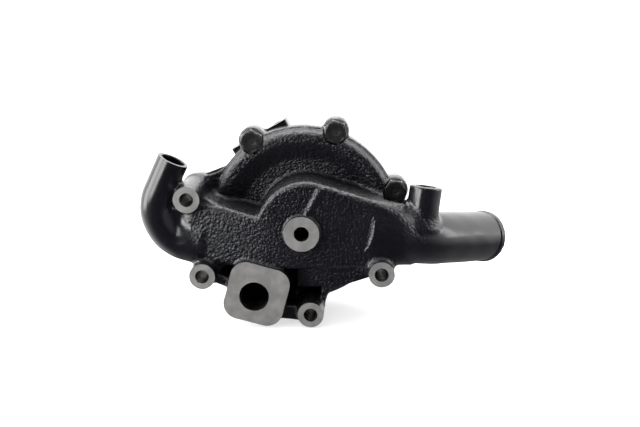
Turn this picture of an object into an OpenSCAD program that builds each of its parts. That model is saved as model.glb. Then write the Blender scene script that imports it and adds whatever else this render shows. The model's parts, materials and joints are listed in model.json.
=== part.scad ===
// Engine water pump: a cast volute body with its suction duct, discharge port and bypass elbow,
// a front cover that carries the bearings, and the rotating shaft, impeller and pulley hub.
// The engine's mounting face is the plane y = 0, the shaft runs along +Y from it, and +Z is up.

/* [Mounting face] */
// Diameter of the four outer mounting bosses
boss_d = 21; // [19:0.5:23]
// Clearance hole through each outer mounting boss
boss_hole_d = 11; // [9:0.5:12]
// Diameter of the boss on the shaft's axis
centre_boss_d = 28.5; // [26:0.5:30]
// Blind hole in the centre boss
centre_hole_d = 12; // [10:0.5:14]
// Depth of that blind hole
centre_hole_depth = 22; // [18:1:24]

/* [Discharge port] */
// Side of the square port flange
port_side = 48.8; // [46:0.2:50]
// Corner radius of the port flange
port_corner = 13; // [10:0.5:15]
// Thickness of the port flange
port_flange_t = 9; // [7:0.5:12]
// Turn of the port flange about the shaft's direction
port_turn = -15; // [-20:1:-10]
// Bore of the discharge port
port_bore_d = 24; // [22:0.5:25]
// Outside diameter of the pipe behind the port flange
port_pipe_d = 35; // [34:0.5:36]

/* [Volute] */
// Radius of the circle of cover bolts
bolt_circle_r = 80; // [79:0.5:82]
// Radius of each cover bolt's ear
ear_r = 10.25; // [9.5:0.25:11]
// Outside radius of the joint flange
flange_r = 79.5; // [78:0.5:80]
// Outside radius of the flange at the low side of the scroll
flange_low_r = 67.5; // [66:0.5:69]
// Distance from the mounting face to the cover joint
joint_y = 52; // [51:0.5:53]
// Thickness of the joint flange
flange_t = 6; // [5:0.5:7]
// Thickness of the gasket
gasket_t = 0.8; // [0.6:0.1:1]
// Radius of the impeller's eye in the suction wall
eye_r = 27; // [25:0.5:28]

/* [Suction duct] */
// Radius of the domed chamber in front of the eye
dome_r = 39; // [38.5:0.5:40]
// Outside diameter of the suction hose stub
stub_d = 44; // [43:0.5:45]
// Bore of the suction stub
stub_bore_d = 37.5; // [36:0.5:38]
// Diameter over the hose bead
stub_bead_d = 46; // [45.5:0.5:47]
// Bend radius of the stub's centreline
stub_bend_r = 75; // [70:1:80]
// Angle that the stub bends through, away from the engine
stub_bend = 45; // [42:1:46]
// Slope of the stub below the level
stub_slope = 13.5; // [12:0.5:14]
// Straight length of the stub past its bend
stub_straight = 71; // [66:1:72]

/* [Sender boss] */
// Outside diameter of the sender boss on the duct
sender_d = 26.5; // [25:0.5:28]
// Tapped bore of the sender boss
sender_bore_d = 16; // [14:0.5:18]

/* [Bypass elbow] */
// Outside diameter of the elbow
elbow_d = 25.4; // [24:0.2:26]
// Bore of the elbow
elbow_bore_d = 19.4; // [18:0.2:20]
// Bend radius of the elbow's centreline
elbow_bend_r = 31.8; // [31:0.2:33]
// Straight length of the elbow below its mouth
elbow_straight = 29; // [27:0.5:32]

/* [Cover] */
// Thickness of the cover's flange
cover_flange_t = 12; // [11:0.5:13]
// Outside radius of the impeller housing
housing_r = 66; // [65:0.5:67]
// Outside radius of the bearing barrel
barrel_r = 33; // [32:0.5:35]
// Distance from the mounting face to the end of the barrel
barrel_end_y = 143; // [142.5:0.5:144]
// Width of the bracket pad
pad_w = 53; // [50:1:56]
// Tapping drill of the pad's two holes
pad_hole_d = 6.8; // [6:0.2:8]

/* [Impeller] */
// Outside radius of the impeller
impeller_r = 55; // [52:0.5:57]
// Number of vanes
vane_count = 6; // [5:1:7]
// Thickness of a vane
vane_t = 4; // [3:0.5:5]

/* [Shaft and hub] */
// Diameter of the shaft
shaft_d = 20; // [20:1:20]
// Radius of the hub's flange
hub_r = 45; // [43:0.5:50]
// Pitch circle diameter of the hub's tapped holes
hub_pcd = 72; // [68:0.5:74]
// Tapping drill of the hub's holes
hub_hole_d = 6.8; // [6:0.2:8.5]
// Diameter of the pilot that centres the pulley
hub_pilot_d = 32; // [28:1:36]

/* [Hidden] */
$fn = 96;

eps = 0.01;
over = 1;
// How far a straight tube overlaps the end of its bend, and how much thinner the bend is
lap = 0.6;
bend_step = 0.1;
casting = [0.13, 0.13, 0.15];
machined = [0.54, 0.54, 0.53];
steel = [0.66, 0.66, 0.68];
rubber = [0.08, 0.08, 0.08];
brass = [0.72, 0.58, 0.3];

// Bosses in the plane of the mounting face, as [x, z]
boss_upper_left = [-90.5, 27];
boss_lower_left = [-80, -36];
boss_right = [64, -33];
boss_bottom = [7.2, -67.5];
port = [-38.3, -52.3];
// The square flange is a little off the centre of its bore
port_flange_at = [-36.4, -50.4];
outer_bosses = [boss_upper_left, boss_lower_left, boss_right, boss_bottom];
// These three run through the joint and the cover
through_bosses = [boss_upper_left, boss_right, boss_bottom];

// Seven equal steps round the joint, two of which are taken by mounting bosses
bolt_step = 360 / 7;
bolt_start = 71;
// Three bolts pass through the body into the cover, and two through the cover into the body
body_bolts = [for (i = [-1:1]) bolt_start + i * bolt_step];
front_bolts = [for (i = [2:3]) bolt_start + i * bolt_step];
bolt_angles = concat(body_bolts, front_bolts);

wall = 5;
flange_y = joint_y - flange_t;
cover_y = joint_y + gasket_t;

// Cover bolts: M10 with a 17 mm hexagon
bolt_d = 10;
bolt_hole_d = 11;
bolt_af = 17;
bolt_head_t = 6.4;
bolt_seat_y = flange_y - 1.5;
front_bolt_seat_y = joint_y + gasket_t + cover_flange_t;
front_bolt_end_y = joint_y - 9;
// The cover's ears stand proud of the body's, at the far side of the flange
cover_ear_r = 10.5;
cover_ear_y = 67;

// Front faces of the plate below the duct and of the web beside the elbow
plate_y = 16;
elbow_web_y = 15;

// Axis of the suction stub: it starts level inside the duct and then bends
stub_start = [60, 26, -2.5];
// Axis of the sender boss
sender_top = [100, 31, 33];
sender_lean = [-6, 7, 0];
sender_len = 34;
sender_depth = 34;
// Bend centre of the bypass elbow, in the plane of its own bend
elbow_y = 20;
elbow_centre = [-87.3, 15.5];
elbow_mouth_turn = 64.5;

// The dome sits a little up and right of the shaft's axis
dome_at = [3, 2];

// Stations along the shaft
impeller_front_y = joint_y + 1.2;
impeller_back_y = 74;
seat_y = impeller_back_y;
seal_bore_y = 81;
seal_bore_end_y = 92;
slinger_y = 97;
inner_bearing_y = 102;
bearing_w = 15;
spacer_t = 6;
outer_bearing_y = inner_bearing_y + bearing_w + spacer_t;
circlip_y = outer_bearing_y + bearing_w;
hub_y = 146;
hub_flange_y = 156;
hub_face_y = 164;
hub_pilot_t = 3;

// Deep groove ball bearing, 20 x 52 x 15
bearing_r = 26;
race_gap_in = 14.6;
race_gap_out = 21.4;
ball_r = 4.76;
ball_pitch_r = 18;
ball_count = 7;
groove_r = 4.85;

function polar(r, a) = [r * cos(a), r * sin(a)];

// Extrudes an outline drawn in x and z from one y to another
module slab(y0, y1)
    translate([0, y1, 0])
        rotate([90, 0, 0])
            linear_extrude(y1 - y0)
                children();

// Turns a profile drawn as [radius, y] about the shaft
module turned()
    rotate([-90, 0, 0])
        rotate_extrude()
            children();

module rod(at, y0, y1, d)
    translate([at[0], y0, at[1]])
        rotate([-90, 0, 0])
            cylinder(h = y1 - y0, d = d);

module tube(r_in, r_out, y0, y1)
    difference() {
        rod([0, 0], y0, y1, 2 * r_out);
        rod([0, 0], y0 - over, y1 + over, 2 * r_in);
    }

// A straight strip from one point to another
module strip(a, b, w)
    translate(a)
        rotate(atan2(b[1] - a[1], b[0] - a[0]))
            translate([0, -w / 2])
                square([norm(b - a), w]);

// Points of a square with rounded corners, each corner an arc in steps
function rounded_square(side, r, steps = 10) = [for (c = [0:3], i = [0:steps])
    let (a = c * 90 + i * 90 / steps, m = side / 2 - r)
    m * sqrt(2) * [cos(c * 90 + 45), sin(c * 90 + 45)] + polar(r, a)];

// The low side of the scroll, from the right boss round past the bottom one
module low_side()
    polygon([[0, 0], polar(130, -30), polar(130, -97)]);

module scroll_disc(r_high, r_low) {
    difference() {
        circle(r_high);
        low_side();
    }
    circle(r_low);
}

module joint_outline() {
    scroll_disc(flange_r, flange_low_r);
    for (a = bolt_angles)
        translate(polar(bolt_circle_r, a))
            circle(ear_r);
    for (p = through_bosses)
        translate(p)
            circle(d = boss_d);
    strip(polar(70, 143), boss_upper_left + [4, 3], 13);
    strip(polar(60, -38), boss_right, 15);
    strip([4, -50], boss_bottom, 18);
}

module bolt_holes(angles, y0, y1, d)
    for (a = angles)
        rod(polar(bolt_circle_r, a), y0, y1, d);

module boss_holes(y0, y1)
    for (p = through_bosses)
        rod(p, y0, y1, boss_hole_d);

// Solid shape of the suction stub's tube at a given radius, with its straight run into the duct.
// The bend is a hair thinner than the straight runs that overlap its ends.
module stub_run(r, run_in, extra)
    translate(stub_start)
        rotate([0, stub_slope, 0]) {
            translate([-run_in, 0, 0])
                rotate([0, 90, 0])
                    cylinder(h = run_in + lap, r = r);
            translate([0, stub_bend_r, 0])
                rotate(-90)
                    rotate_extrude(angle = stub_bend)
                        translate([stub_bend_r, 0])
                            circle(r - bend_step);
            stub_end_frame()
                translate([0, 0, -lap])
                    cylinder(h = stub_straight + extra + lap, r = r);
        }

// Carries a shape from local +Z to the straight end of the stub
module stub_end_frame()
    translate([stub_bend_r * sin(stub_bend), stub_bend_r * (1 - cos(stub_bend)), 0])
        rotate([0, 90, stub_bend])
            children();

// The raised bead that holds the hose on the stub
module stub_bead()
    translate(stub_start)
        rotate([0, stub_slope, 0])
            stub_end_frame()
                translate([0, 0, stub_straight - 5])
                    rotate_extrude()
                        polygon([[stub_bore_d / 2 + 1, -2], [stub_d / 2, -2], [stub_bead_d / 2, 0],
                            [stub_bead_d / 2, 2.5], [stub_d / 2 - 0.4, 4.8], [stub_bore_d / 2 + 1, 4.8]]);

// Solid shape of the bypass elbow's tube at a given radius
module elbow_run(r, run_in, extra)
    translate([elbow_centre[0], elbow_y, elbow_centre[1]])
        rotate([90, 0, 0]) {
            rotate(90 + elbow_mouth_turn)
                rotate_extrude(angle = 180 - elbow_mouth_turn)
                    translate([elbow_bend_r, 0])
                        circle(r - bend_step);
            rotate(90 + elbow_mouth_turn)
                translate([elbow_bend_r, lap, 0])
                    rotate([90, 0, 0])
                        cylinder(h = elbow_straight + extra + lap, r = r);
            translate([-lap, -elbow_bend_r, 0])
                rotate([0, 90, 0])
                    cylinder(h = run_in + lap, r = r);
        }

module sender_frame()
    translate(sender_top)
        rotate(sender_lean)
            children();

// Outside of the duct that runs across the front of the pump
module duct_outline()
    polygon([[-88, -30], [-66, -31], [-30, -31], [40, -31], [90, -30], [97, -18], [97, 15], [82, 20.5],
        [54, 27], [35, 33], [24, 35], [-20, 28], [-35, 12], [-74, 22], [-93, 19]]);

module plate_outline()
    polygon([[-5, -28], [58, -28], [67, -38], [53, -41.5], [38, -46.5], [24, -51], [20.5, -56],
        [18.5, -66], [12, -66], [15, -50], [-5, -50]]);

module body_outside() {
    slab(flange_y, joint_y)
        joint_outline();
    // Shoulder of the scroll, standing forward of the joint flange
    intersection() {
        turned()
            polygon([[20, 44], [58, 44], [60.5, 40], [65, 37.5], [70, 37.5], [74.5, 40.5],
                [76.5, 45], [76.5, 48], [20, 48]]);
        slab(30, joint_y)
            scroll_disc(77, 65);
    }
    // Domed chamber
    translate([dome_at[0], 0, dome_at[1]])
        turned()
            polygon([[0, 3], [dome_r - 6, 4], [dome_r - 2.5, 6], [dome_r, 11], [dome_r, 47],
                [0, 47]]);
    slab(4, 47)
        intersection() {
            duct_outline();
            translate([-140, -60])
                square([200, 120]);
        }
    slab(14, 46)
        intersection() {
            duct_outline();
            translate([50, -60])
                square([60, 120]);
        }
    stub_run(stub_d / 2, 30, 0);
    stub_bead();
    elbow_run(elbow_d / 2, 6, 0);
    sender_frame()
        translate([0, 0, -sender_len])
            cylinder(h = sender_len, d = sender_d);
    // Mounting bosses
    for (p = outer_bosses)
        rod(p, 0, joint_y, boss_d);
    rod([0, 0], 0, 8, centre_boss_d);
    slab(14, flange_y + 2) {
        strip(boss_upper_left, [-62, 12], 15);
        strip(boss_lower_left, [-66, -24], 17);
        strip(boss_right, [52, -22], 15);
    }
    slab(6, flange_y + 2) {
        strip(boss_lower_left, port, 9);
        strip(boss_bottom + [0, -2], [-24, -67], 14);
    }
    // Plate below the duct, from the bottom boss across to the right one
    slab(plate_y, flange_y + 2)
        plate_outline();
    slab(24, flange_y + 2)
        strip(boss_bottom, [5, -28], 16);
    // Web that closes the crook between the elbow and the upper left boss
    slab(elbow_web_y, flange_y - 8)
        polygon([[-88, -28], [-108, -10], [-115, 4], [-113, 12], boss_upper_left, [-84, 10]]);
    // Discharge pipe and its square flange
    rod(port, 0, flange_y + 2, port_pipe_d);
    slab(0, port_flange_t)
        translate(port_flange_at)
            rotate(port_turn)
                polygon(rounded_square(port_side, port_corner));
}

module body_passages() {
    // Suction chamber behind the dome, opening into the eye
    difference() {
        translate([dome_at[0], 0, dome_at[1]])
            turned()
                polygon([[0, 8.5], [28, 8.5], [dome_r - wall, 14], [dome_r - wall, 42], [0, 42]]);
        rod([0, 0], 6, centre_hole_depth + 4, centre_hole_d + 12);
    }
    rod([0, 0], 40, joint_y + over, 2 * eye_r);
    // Right branch, from the stub
    stub_run(stub_bore_d / 2, 45, over);
    // Left branch, from the bypass elbow
    elbow_run(elbow_bore_d / 2, 14, over);
    slab(10, 40)
        polygon([[-76, -24], [-10, -24], [-10, 14], [-36, 2], [-70, 12]]);
    // Scroll groove, open to the joint
    intersection() {
        turned()
            polygon([[42, joint_y + over], [42, 49], [60, 44], [62.5, 42], [67, 42], [70, 45],
                [70, joint_y + over]]);
        slab(30, joint_y + 2)
            scroll_disc(70, 60.5);
    }
    rod(port, -over, 47, port_bore_d);
    sender_frame()
        translate([0, 0, -sender_depth])
            cylinder(h = sender_depth + over, d = sender_bore_d);
}

module pump_body()
    color(casting)
        difference() {
            body_outside();
            body_passages();
            boss_holes(-over, joint_y + over);
            bolt_holes(body_bolts, bolt_seat_y - over, joint_y + over, bolt_hole_d);
            bolt_holes(front_bolts, front_bolt_end_y - 1.5, joint_y + over, bolt_d);
            rod(boss_lower_left, -over, joint_y + over, boss_hole_d);
            rod([0, 0], -over, centre_hole_depth, centre_hole_d);
            // Spot faces under the bolt heads
            bolt_holes(body_bolts, bolt_seat_y - 12, bolt_seat_y, 2 * ear_r);
        }

module cover_gasket()
    color([0.2, 0.2, 0.19])
        difference() {
            slab(joint_y, cover_y)
                joint_outline();
            slab(joint_y - over, cover_y + over)
                scroll_disc(70, 60.5);
            boss_holes(joint_y - over, cover_y + over);
            bolt_holes(bolt_angles, joint_y - over, cover_y + over, bolt_hole_d);
        }

// The bracket pad stands on the housing, square to a line from the shaft
pad_angle = 120;
pad_reach = 80;
pad_y0 = 67;
pad_y1 = 86;
pad_hole_pitch = 36;

module cover_pad()
    rotate([0, -pad_angle, 0])
        translate([40, pad_y0, -pad_w / 2])
            cube([pad_reach - 40, pad_y1 - pad_y0, pad_w]);

module pad_holes()
    for (s = [-1, 1])
        rotate([0, -pad_angle, 0])
            translate([pad_reach - 16, (pad_y0 + pad_y1) / 2, s * pad_hole_pitch / 2])
                rotate([0, 90, 0])
                    cylinder(h = 16 + over, d = pad_hole_d);

rib_angles = [0, 60, 180, 240, 300];
weep_d = 6;

module front_cover()
    color(casting)
        difference() {
            union() {
                slab(cover_y, cover_y + cover_flange_t)
                    joint_outline();
                // Impeller housing, its sloping back and the bearing barrel
                turned()
                    polygon([[0, 60], [housing_r, 60], [housing_r, 76], [60, 81], [40, 86],
                        [barrel_r, 92], [barrel_r, 118], [30.5, 121], [30.5, 135], [31.5, 136],
                        [31.5, barrel_end_y], [0, barrel_end_y]]);
                cover_pad();
                for (a = body_bolts)
                    rod(polar(bolt_circle_r, a), cover_y, cover_ear_y, 2 * cover_ear_r);
                for (a = rib_angles)
                    rotate([0, -a, 0])
                        rib();
            }
            // Impeller chamber
            turned()
                polygon([[0, cover_y - over], [59, cover_y - over], [59, 70], [56.5, 75.2],
                    [24, 75.2], [24, seal_bore_y + eps], [0, seal_bore_y + eps]]);
            rod([0, 0], seal_bore_y - over, seal_bore_end_y, 38);
            rod([0, 0], seal_bore_end_y - over, slinger_y, 26);
            rod([0, 0], slinger_y - 1, inner_bearing_y + eps, 44);
            rod([0, 0], inner_bearing_y, barrel_end_y + over, 2 * bearing_r);
            tube(20, bearing_r + 1.6, circlip_y, circlip_y + 2.2);
            boss_holes(cover_y - over, cover_y + cover_flange_t + over);
            bolt_holes(body_bolts, cover_y - over, cover_y + cover_flange_t, bolt_d);
            bolt_holes(front_bolts, cover_y - over, cover_y + cover_flange_t + over, bolt_hole_d);
            pad_holes();
            // Weep hole from the slinger chamber, straight down
            translate([0, slinger_y + 1.5, -40])
                cylinder(h = 30, d = weep_d);
        }

rib_t = 6;

// A web between the barrel and the back of the housing, in the plane of the shaft
module rib()
    translate([0, 0, -rib_t / 2])
        linear_extrude(rib_t)
            polygon([[28, 80], [28, 112], [barrel_r, 112], [60, 80]]);

function vane_edge(side) = [for (i = [0:12])
    let (r = 17 + i * (impeller_r - 17.5) / 12, a = -70 * (i / 12) + side * vane_t / 2 / r * 57.3)
    polar(r, a)];

module impeller()
    color([0.4, 0.4, 0.4])
        difference() {
            union() {
                turned()
                    polygon([[0, impeller_front_y + 1], [12.5, impeller_front_y + 1], [16, 58],
                        [19, 67], [28, 70], [impeller_r, 71], [impeller_r, impeller_back_y],
                        [0, impeller_back_y]]);
                slab(impeller_front_y, 72)
                    for (i = [0:vane_count - 1])
                        rotate(i * 360 / vane_count)
                            polygon(concat(vane_edge(1), [for (j = [12:-1:0]) vane_edge(-1)[j]]));
            }
            rod([0, 0], impeller_front_y - over, impeller_back_y + over, shaft_d);
            // Balance holes through the back plate
            for (i = [0:2])
                rod(polar(26, 30 + i * 120), 60, impeller_back_y + over, 6);
        }

module shaft()
    color(steel)
        difference() {
            turned()
                polygon([[0, impeller_front_y], [9, impeller_front_y], [10, impeller_front_y + 1],
                    [10, hub_face_y - 2], [9, hub_face_y - 1], [0, hub_face_y - 1]]);
            // Centre drillings at both ends
            for (s = [[impeller_front_y - over, 4], [hub_face_y - 5, 5]])
                rod([0, 0], s[0], s[0] + s[1], 4);
        }

module pulley_hub()
    color(machined)
        difference() {
            turned()
                polygon([[0, hub_y], [19, hub_y], [20, hub_y + 1], [20, hub_flange_y - 3],
                    [23, hub_flange_y], [hub_r - 1, hub_flange_y], [hub_r, hub_flange_y + 1],
                    [hub_r, hub_face_y - 1], [hub_r - 1, hub_face_y], [hub_pilot_d / 2, hub_face_y],
                    [hub_pilot_d / 2, hub_face_y + hub_pilot_t], [0, hub_face_y + hub_pilot_t]]);
            rod([0, 0], hub_y - over, hub_face_y + hub_pilot_t + over, shaft_d);
            for (i = [0:3])
                rod(polar(hub_pcd / 2, 45 + i * 90), hub_flange_y - over, hub_face_y + over,
                    hub_hole_d);
        }

// A rubber ring that drives and seals the ceramic seat
module seal_seat_boot()
    color(rubber)
        turned()
            difference() {
                translate([shaft_d / 2, seat_y])
                    square([7, 5]);
                translate([shaft_d / 2 + 2, seat_y + 2])
                    square([6, 4]);
            }

module seal_seat()
    color([0.88, 0.87, 0.83])
        tube(shaft_d / 2 + 2, 17, seat_y + 2, seat_y + 5.5);

seat_face_y = seat_y + 5.5;

// The carbon ring stays still and runs on the turning seat over a thin film
module seal_carbon_ring()
    color([0.16, 0.16, 0.17])
        turned()
            polygon([[12.2, seat_face_y + 0.02], [15, seat_face_y + 0.02], [15, seat_face_y + 1.5],
                [17, seat_face_y + 1.5], [17, seat_face_y + 5], [12.2, seat_face_y + 5]]);

bellows_y = seat_face_y + 5;

module seal_bellows()
    color(rubber)
        turned()
            difference() {
                polygon([[11.4, bellows_y], [16.5, bellows_y], [16.5, bellows_y + 1.2],
                    [13.4, bellows_y + 1.2], [14, bellows_y + 3], [13.4, bellows_y + 4.8],
                    [13.4, bellows_y + 5.6], [16.6, bellows_y + 5.6], [16.6, bellows_y + 6.5],
                    [11.4, bellows_y + 6.5]]);
                translate([11.3, bellows_y + 1.6])
                    square([0.9, 3.5]);
            }

spring_wire_r = 0.6;
spring_r = 15.6;
spring_turns = 3;
spring_pitch = 1.45;
spring_y = bellows_y + 1.95;

// Coils of the seal spring, drawn as closed rings joined by one short leg
module seal_spring()
    color(steel) {
        for (i = [0:spring_turns - 1])
            turned()
                translate([spring_r, spring_y + i * spring_pitch])
                    circle(spring_wire_r, $fn = 24);
        rod([0, spring_r], spring_y, spring_y + spring_pitch * (spring_turns - 1),
            1.6 * spring_wire_r);
    }

module seal_cup()
    color(brass)
        turned()
            polygon([[19, seal_bore_y], [21.5, seal_bore_y], [21.5, seal_bore_y - 1],
                [18, seal_bore_y - 1], [18, seal_bore_end_y - 1], [11.2, seal_bore_end_y - 1],
                [11.2, seal_bore_end_y], [19, seal_bore_end_y]]);

module slinger()
    color(steel)
        turned()
            polygon([[shaft_d / 2, slinger_y], [12, slinger_y], [12, slinger_y + 1],
                [18.5, slinger_y + 2.5], [18.5, slinger_y + 3.5], [12, slinger_y + 2.4],
                [12, inner_bearing_y], [shaft_d / 2, inner_bearing_y]]);

module outer_race(y0)
    color(steel)
        difference() {
            turned()
                polygon([[race_gap_out, y0], [bearing_r - 1, y0], [bearing_r, y0 + 1],
                    [bearing_r, y0 + bearing_w - 1], [bearing_r - 1, y0 + bearing_w],
                    [race_gap_out, y0 + bearing_w]]);
            ball_groove(y0);
        }

module inner_race(y0)
    color(steel)
        difference() {
            turned()
                polygon([[shaft_d / 2, y0], [race_gap_in, y0], [race_gap_in, y0 + bearing_w],
                    [shaft_d / 2, y0 + bearing_w]]);
            ball_groove(y0);
        }

module ball_groove(y0)
    turned()
        translate([ball_pitch_r, y0 + bearing_w / 2])
            circle(groove_r);

module at_balls(y0)
    for (i = [0:ball_count - 1])
        rotate([0, i * 360 / ball_count, 0])
            translate([ball_pitch_r, y0 + bearing_w / 2, 0])
                children();

module balls(y0)
    color([0.8, 0.8, 0.82])
        at_balls(y0)
            sphere(ball_r);

module cage(y0)
    color(brass)
        difference() {
            tube(16.6, 19.4, y0 + 1.9, y0 + bearing_w - 1.9);
            at_balls(y0)
                rotate([0, 90, 0])
                    cylinder(h = 8, r = ball_r + 0.2, center = true);
        }

shield_t = 0.8;

module shields(y0)
    color(rubber)
        for (y = [y0 + 0.4, y0 + bearing_w - 0.4 - shield_t])
            tube(race_gap_in + 0.3, race_gap_out, y, y + shield_t);

module inner_bearing_outer_race()
    outer_race(inner_bearing_y);

module inner_bearing_inner_race()
    inner_race(inner_bearing_y);

module inner_bearing_balls()
    balls(inner_bearing_y);

module inner_bearing_cage()
    cage(inner_bearing_y);

module inner_bearing_shields()
    shields(inner_bearing_y);

module outer_bearing_outer_race()
    outer_race(outer_bearing_y);

module outer_bearing_inner_race()
    inner_race(outer_bearing_y);

module outer_bearing_balls()
    balls(outer_bearing_y);

module outer_bearing_cage()
    cage(outer_bearing_y);

module outer_bearing_shields()
    shields(outer_bearing_y);

// Holds the two inner races apart
module bearing_spacer()
    color(steel)
        tube(shaft_d / 2, 13.6, inner_bearing_y + bearing_w, outer_bearing_y);

// Snap ring with its gap and lugs at the bottom
module bearing_circlip()
    color([0.25, 0.25, 0.26])
        difference() {
            union() {
                tube(23.5, bearing_r + 1.4, circlip_y, circlip_y + 1.9);
                for (s = [-1, 1])
                    rod([s * 4.5, -22.6], circlip_y, circlip_y + 1.9, 5);
            }
            slab(circlip_y - over, circlip_y + 3)
                translate([-2, -34])
                    square([4, 20]);
            for (s = [-1, 1])
                rod([s * 4.5, -22.4], circlip_y - over, circlip_y + 3, 2.2);
        }

// A hexagon-headed bolt along +Y from its seat, or along -Y when it goes in from the front
module hex_bolt(angle, seat_y, length, sense)
    translate([polar(bolt_circle_r, angle)[0], seat_y, polar(bolt_circle_r, angle)[1]])
        rotate([-90 * sense, angle, 0]) {
            translate([0, 0, -bolt_head_t])
                cylinder(h = bolt_head_t, d = bolt_af / cos(30), $fn = 6);
            translate([0, 0, -eps])
                cylinder(h = length, d = bolt_d);
        }

module cover_bolts()
    color([0.12, 0.12, 0.12]) {
        for (a = body_bolts)
            hex_bolt(a, bolt_seat_y, cover_y + cover_flange_t - bolt_seat_y - 0.5, 1);
        for (a = front_bolts)
            hex_bolt(a, front_bolt_seat_y, front_bolt_seat_y - front_bolt_end_y, -1);
    }

pump_body();
cover_gasket();
front_cover();
cover_bolts();
impeller();
shaft();
pulley_hub();
seal_seat_boot();
seal_seat();
seal_carbon_ring();
seal_bellows();
seal_spring();
seal_cup();
slinger();
inner_bearing_outer_race();
inner_bearing_inner_race();
inner_bearing_balls();
inner_bearing_cage();
inner_bearing_shields();
outer_bearing_outer_race();
outer_bearing_inner_race();
outer_bearing_balls();
outer_bearing_cage();
outer_bearing_shields();
bearing_spacer();
bearing_circlip();
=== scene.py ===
import json

import bpy
import numpy as np
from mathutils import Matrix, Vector


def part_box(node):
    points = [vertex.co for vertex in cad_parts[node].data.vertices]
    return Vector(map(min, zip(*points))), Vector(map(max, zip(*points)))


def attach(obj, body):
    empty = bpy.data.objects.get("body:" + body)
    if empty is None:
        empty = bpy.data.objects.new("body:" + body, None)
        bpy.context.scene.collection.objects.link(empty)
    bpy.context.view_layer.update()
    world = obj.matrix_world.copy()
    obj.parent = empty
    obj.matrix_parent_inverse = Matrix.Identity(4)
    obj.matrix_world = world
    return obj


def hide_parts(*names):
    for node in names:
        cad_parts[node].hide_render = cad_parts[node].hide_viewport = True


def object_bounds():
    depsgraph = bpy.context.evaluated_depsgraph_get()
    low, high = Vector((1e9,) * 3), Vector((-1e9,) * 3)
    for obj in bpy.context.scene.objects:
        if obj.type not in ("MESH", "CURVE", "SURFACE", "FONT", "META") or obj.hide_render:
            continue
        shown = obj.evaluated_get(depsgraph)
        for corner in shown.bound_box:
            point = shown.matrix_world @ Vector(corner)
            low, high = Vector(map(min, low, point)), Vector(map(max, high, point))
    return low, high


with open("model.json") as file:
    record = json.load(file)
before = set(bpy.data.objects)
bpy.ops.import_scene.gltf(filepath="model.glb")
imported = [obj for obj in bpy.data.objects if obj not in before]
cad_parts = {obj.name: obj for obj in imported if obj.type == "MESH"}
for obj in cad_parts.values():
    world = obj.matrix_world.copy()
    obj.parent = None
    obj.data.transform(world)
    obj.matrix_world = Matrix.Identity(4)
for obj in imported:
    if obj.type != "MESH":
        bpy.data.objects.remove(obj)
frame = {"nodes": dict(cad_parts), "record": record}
cad_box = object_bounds()
mounts = {m["name"]: m for m in frame["record"]["mounts"]}


# ---------------------------------------------------------------- pump body
# The body is one sand casting in grey iron: volute wall, suction duct, hose stub, bypass elbow,
# discharge pipe and mounting bosses run into each other through cast fillets. It is dipped in black
# enamel, and then the faces that meet the engine and the cover are machined bright.

MM = 0.001
BIG = 1e9
BEYOND = 4.0  # how far a cutting bar or a hidden root runs past a face, in millimetres


def mount_point(name):
    """A mount's position in millimetres."""
    return np.array(mounts[name]["pos_m"]) / MM


def mount_flat(name):
    """A mount's x and z in millimetres."""
    return mount_point(name)[[0, 2]]


def mount_axis(name):
    """A mount's direction, out of the pump."""
    return np.array(mounts[name]["axis"])


def size_of(name, key="r_mm"):
    """One of a mount's sizes in millimetres."""
    return mounts[name]["dims"][key]


def node_box(name):
    """A node's lowest and highest corners in millimetres."""
    low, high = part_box(name)
    return np.array(low) / MM, np.array(high) / MM


def blend_in(a, b, radius):
    """Two solids joined, with a fillet of that radius: past the fillet it is the smaller distance,
    and inside it the distance to a circle that touches both."""
    ua = np.maximum(radius - a, 0)
    ub = np.maximum(radius - b, 0)
    return np.maximum(radius, np.minimum(a, b)) - np.sqrt(ua * ua + ub * ub)


def keep_both(a, b, radius=None):
    """What two solids share, with its outer edge rounded to that radius."""
    if radius is None:
        return np.maximum(a, b)
    return -blend_in(-a, -b, radius)


def cut_from(a, b, radius=None):
    """The first solid less the second, with the mouth's edge rounded to that radius."""
    return keep_both(a, -b, radius)


def cylinder(p, start, along, radius, length, edge=None):
    """A round bar: distance from its axis less the radius, kept between its two end planes."""
    axis = np.asarray(along, np.float32)
    axis = axis / np.linalg.norm(axis)
    rel = p - np.asarray(start, np.float32)
    t = rel @ axis
    side = np.sqrt(np.maximum((rel * rel).sum(-1) - t * t, 0)) - radius
    return keep_both(side, np.maximum(-t, t - length), edge)


def away(p, at):
    """The flat distance, in x and z, from a point."""
    return np.hypot(p[..., 0] - at[0], p[..., 2] - at[1])


def slab(p, flat, y0, y1, edge=None):
    """A flat outline carried from y0 to y1, both its edges rounded."""
    y = p[..., 1]
    return keep_both(keep_both(flat, y0 - y, edge), y - y1, edge)


def bar(p, at, y0, y1, radius, edge=None):
    """A round bar along the shaft's direction, from y0 to y1 at (x, z)."""
    return slab(p, away(p, at) - radius, y0, y1, edge)


def drill(solid, p, places, y0, y1, radius, edge=None):
    """A solid less a round bar from y0 to y1 at each place."""
    for at in places:
        solid = cut_from(solid, bar(p, at, y0, y1, radius), edge)
    return solid


def strip(p, a, b, width):
    """The flat distance, in x and z, to a straight strip with round ends."""
    a = np.asarray(a, np.float32)
    d = np.asarray(b, np.float32) - a
    u = p[..., 0] - a[0]
    v = p[..., 2] - a[1]
    t = np.clip((u * d[0] + v * d[1]) / (d @ d), 0, 1)
    return np.hypot(u - t * d[0], v - t * d[1]) - width / 2


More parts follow.
